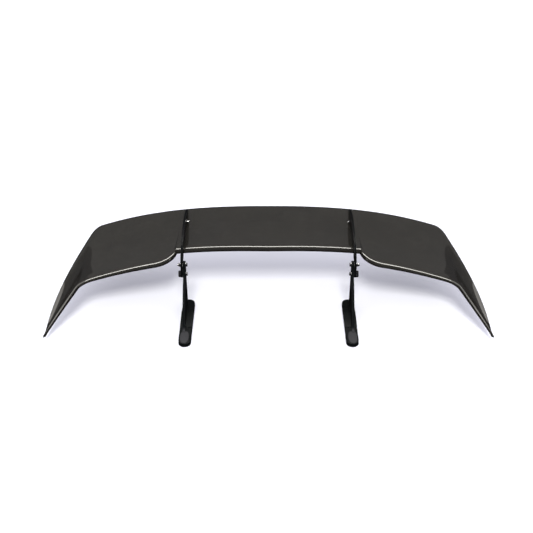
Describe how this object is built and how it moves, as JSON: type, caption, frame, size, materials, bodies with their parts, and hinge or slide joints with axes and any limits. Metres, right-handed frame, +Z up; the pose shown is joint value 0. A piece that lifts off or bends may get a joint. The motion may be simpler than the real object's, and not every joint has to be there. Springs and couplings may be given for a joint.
{
  "type": "racing rear wing",
  "caption": "Car rear wing: drooped-end carbon aerofoil hung from above on two swan-neck arms that tilt on long-footed stays.",
  "frame": {"origin": "middle of the overall box, on the plane the rubber pads stand on", "axes": "+X along the span to the part's right seen from the front, +Y rearwards (leading edge to trailing edge), +Z up"},
  "size_m": [1.5934, 0.5352, 0.2851],
  "materials": {
    "carbon": "gloss",
    "inner_laminate": "matte",
    "bare_alloy": "satin",
    "black_alloy": "satin",
    "black_knob": "satin",
    "stainless": "satin",
    "dark_steel": "satin",
    "bronze": "satin",
    "nylon": "matte",
    "rubber": "matte"
  },
  "bodies": {
    "stays": {"stay_left": "black_alloy", "stay_right": "black_alloy", "foot_pad_left": "rubber", "foot_pad_right": "rubber", "thread_inserts_left": "stainless", "thread_inserts_right": "stainless", "pivot_bolt_left": "stainless", "pivot_bolt_right": "stainless", "spacer_washer_left": "nylon", "spacer_washer_right": "nylon", "pivot_nut_left": "stainless", "pivot_nut_right": "stainless", "lock_stud_left": "stainless", "lock_stud_right": "stainless"},
    "wing": {"upper_skin": "carbon", "lower_skin": "carbon", "front_spar": "inner_laminate", "rear_spar": "inner_laminate", "mount_rib_left": "inner_laminate", "mount_rib_right": "inner_laminate", "shoulder_rib_left": "inner_laminate", "shoulder_rib_right": "inner_laminate", "saddle_left": "bare_alloy", "saddle_right": "bare_alloy", "neck_left": "black_alloy", "neck_right": "black_alloy", "fin_bolt_left": "dark_steel", "fin_bolt_right": "dark_steel", "fin_nut_left": "stainless", "fin_nut_right": "stainless", "fin_dowel_left": "dark_steel", "fin_dowel_right": "dark_steel", "pivot_bush_left": "bronze", "pivot_bush_right": "bronze"},
    "lock_knob_left_turning": {"lock_knob_left": "black_knob"},
    "lock_knob_right_turning": {"lock_knob_right": "black_knob"}
  },
  "joints": [
    {"name": "wing_tilt", "type": "hinge", "parent": "stays", "child": "wing", "pos_m": [0, -0.0476, 0.203], "axis": [1, 0, 0], "range_deg": [-8, 4]},
    {"name": "lock_knob_left_turn", "type": "hinge", "parent": "stays", "child": "lock_knob_left_turning", "pos_m": [-0.321, -0.05923, 0.17105], "axis": [-1, 0, 0], "range_deg": [0, 360]},
    {"name": "lock_knob_right_turn", "type": "hinge", "parent": "stays", "child": "lock_knob_right_turning", "pos_m": [0.321, -0.05923, 0.17105], "axis": [1, 0, 0], "range_deg": [0, 360]}
  ]
}
